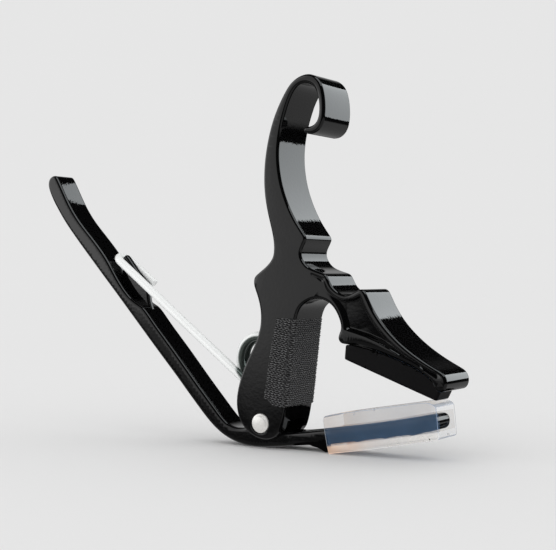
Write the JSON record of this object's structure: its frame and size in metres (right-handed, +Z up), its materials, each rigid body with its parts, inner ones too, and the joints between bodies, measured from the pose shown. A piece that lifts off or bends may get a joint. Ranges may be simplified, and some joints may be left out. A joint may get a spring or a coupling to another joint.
{
  "type": "guitar capo",
  "caption": "Spring-clamp guitar capo: curled grip on the upper jaw, long lever with lower jaw, riveted clevis, hooked torsion spring, rubber string pad and clear neck sleeve.",
  "frame": {"origin": "on the floor under the middle of the object's bounding box, as it stands on the lever's belly and the sleeve's corner", "axes": "+X from the lever's handle towards the jaws' open end, +Y along the rivet, +Z up"},
  "size_m": [0.1566, 0.0186, 0.1172],
  "materials": {
    "black_enamel": "gloss",
    "rivet_steel": "satin",
    "bright_spring_wire": "bright plated",
    "pad_rubber": "matte",
    "clear_vinyl": "translucent satin",
    "knit_fabric": "looped knit"
  },
  "bodies": {
    "frame": {"frame_casting": "black_enamel", "pivot_rivet": "rivet_steel", "string_pad": "pad_rubber", "throat_fabric": "knit_fabric", "spring_coil": "bright_spring_wire"},
    "lever": {"lever_casting": "black_enamel", "neck_sleeve": "clear_vinyl"},
    "spring_leg": {"spring_hooked_leg": "bright_spring_wire"}
  },
  "joints": [
    {"name": "lever_pivot", "type": "hinge", "parent": "frame", "child": "lever", "pos_m": [0.01426, 0, 0.00815], "axis": [0, 1, 0], "range_deg": [0, 28], "stiffness_Nm_per_rad": 0.7, "springref_deg": -68.75},
    {"name": "spring_windup", "type": "hinge", "parent": "frame", "child": "spring_leg", "pos_m": [0.00976, 0, 0.02765], "axis": [0, 1, 0], "range_deg": [0, 36.4]}
  ],
  "couplings": [
    {"joint": "spring_windup", "follows": "lever_pivot", "ratio": 1.3}
  ]
}
